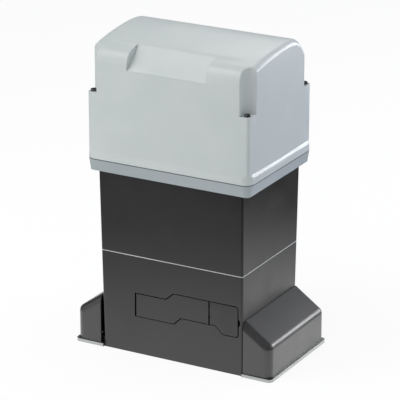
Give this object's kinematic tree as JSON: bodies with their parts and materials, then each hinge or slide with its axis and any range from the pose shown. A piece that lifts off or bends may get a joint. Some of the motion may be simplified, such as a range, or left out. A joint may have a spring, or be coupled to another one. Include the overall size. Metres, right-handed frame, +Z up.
{
  "type": "sliding gate motor",
  "caption": "Upright sliding gate operator: cast gearbox on feet, motor housing, screwed hood, rack pinion at the back and a release lever in the front.",
  "frame": {"origin": "centre of the foundation slot pattern, on the base plane", "axes": "+Z up, -Y the front with the release lever, +Y the gate side with the pinion, +X to the right when one faces the front"},
  "size_m": [0.275, 0.1907, 0.4011],
  "materials": {
    "cast_charcoal": "painted casting, fine orange peel",
    "gasket_light": "pressed fibre",
    "ring_grey": "moulded, satin",
    "cover_grey": "moulded, satin",
    "foot_dark": "moulded, satin",
    "lever_dark": "painted die casting",
    "flap_dark": "moulded",
    "screw_black": "blackened steel",
    "zinc_steel": "zinc plated",
    "machined_steel": "turned and ground",
    "pinion_steel": "hobbed, zinc plated",
    "spring_steel": "oil tempered",
    "bearing_steel": "ground",
    "lock_metal": "nickel plated",
    "bronze": "cut bronze",
    "friction_lining": "pressed lining",
    "seal_rubber": "moulded",
    "lamination": "stacked sheets",
    "copper_coil": "varnished copper",
    "bare_aluminium": "die cast",
    "tray_plastic": "moulded",
    "board_green": "solder resist",
    "coil_tape": "varnished",
    "relay_plastic": "moulded",
    "terminal_green": "moulded",
    "capacitor_white": "moulded",
    "plug_steel": "zinc plated"
  },
  "bodies": {
    "root": {"gearbox_housing": "cast_charcoal", "housing_gasket": "gasket_light", "motor_housing": "cast_charcoal", "tie_screws": "zinc_steel", "cover_ring": "ring_grey", "ring_screws": "zinc_steel", "cover_seal": "seal_rubber", "cover_pillars": "zinc_steel", "foot_cover_left": "foot_dark", "foot_cover_right": "foot_dark", "lever_pin": "machined_steel", "bearing_cover": "cast_charcoal", "bearing_cover_screws": "zinc_steel", "shaft_seal": "seal_rubber", "output_bearing_outers": "bearing_steel", "rod_bushing": "bronze", "motor_stator": "lamination", "motor_windings": "copper_coil", "motor_end_shield": "bare_aluminium", "end_shield_screws": "zinc_steel", "motor_bearing_outers": "bearing_steel", "worm_seal": "seal_rubber", "board_tray": "tray_plastic", "control_board": "board_green", "transformer": "coil_tape", "relays": "relay_plastic", "terminal_blocks": "terminal_green", "run_capacitor": "capacitor_white", "capacitor_clip": "zinc_steel", "limit_sensor": "relay_plastic", "oil_plugs": "plug_steel", "earth_screw": "zinc_steel"},
    "cover": {"top_cover": "cover_grey", "cover_screws": "screw_black"},
    "lever": {"release_lever": "lever_dark", "lock_barrel": "lock_metal", "flap_pin": "machined_steel"},
    "flap": {"key_flap": "flap_dark"},
    "lock": {"lock_plug": "lock_metal", "lock_cam": "lock_metal"},
    "motor": {"worm_shaft": "machined_steel", "motor_rotor": "lamination", "motor_bearing_inners": "bearing_steel"},
    "drive_wheel": {"clutch_hub": "machined_steel", "worm_wheel": "bronze", "friction_discs": "friction_lining", "pressure_plate": "machined_steel", "disc_springs": "spring_steel", "clutch_nut": "machined_steel"},
    "output": {"output_shaft": "machined_steel", "drive_pinion": "pinion_steel", "pinion_key": "machined_steel", "pinion_washer": "zinc_steel", "pinion_bolt": "zinc_steel", "output_bearing_inners": "bearing_steel", "dog_spring": "spring_steel"},
    "release_dog": {"release_dog": "machined_steel", "dog_pin": "machined_steel", "release_rod": "machined_steel"}
  },
  "joints": [
    {"name": "cover_lift", "type": "slide", "parent": "root", "child": "cover", "axis": [0, 0, 1], "range_m": [0, 0.2]},
    {"name": "motor_turn", "type": "hinge", "parent": "root", "child": "motor", "pos_m": [0.006, 0, 0], "axis": [0, 0, 1], "continuous": true},
    {"name": "wheel_turn", "type": "hinge", "parent": "root", "child": "drive_wheel", "pos_m": [-0.044, 0, 0.065], "axis": [0, 1, 0], "continuous": true},
    {"name": "output_turn", "type": "hinge", "parent": "root", "child": "output", "pos_m": [-0.044, 0, 0.065], "axis": [0, 1, 0], "continuous": true},
    {"name": "lever_swing", "type": "hinge", "parent": "root", "child": "lever", "pos_m": [-0.044, -0.0645, 0], "axis": [0, 0, -1], "range_deg": [0, 90]},
    {"name": "dog_slide", "type": "slide", "parent": "output", "child": "release_dog", "axis": [0, 1, 0], "range_m": [0, 0.00424], "deforming": ["dog_spring"]},
    {"name": "flap_swing", "type": "hinge", "parent": "lever", "child": "flap", "pos_m": [0.0541, -0.0688, 0], "axis": [0, 0, -1], "range_deg": [0, 100]},
    {"name": "lock_turn", "type": "hinge", "parent": "lever", "child": "lock", "pos_m": [0.078, 0, 0.07], "axis": [0, 1, 0], "range_deg": [0, 90]}
  ],
  "couplings": [
    {"joint": "wheel_turn", "follows": "motor_turn", "ratio": 0.033333},
    {"joint": "output_turn", "follows": "motor_turn", "ratio": 0.033333},
    {"joint": "dog_slide", "follows": "lever_swing", "m_per_rad": 0.002701}
  ]
}
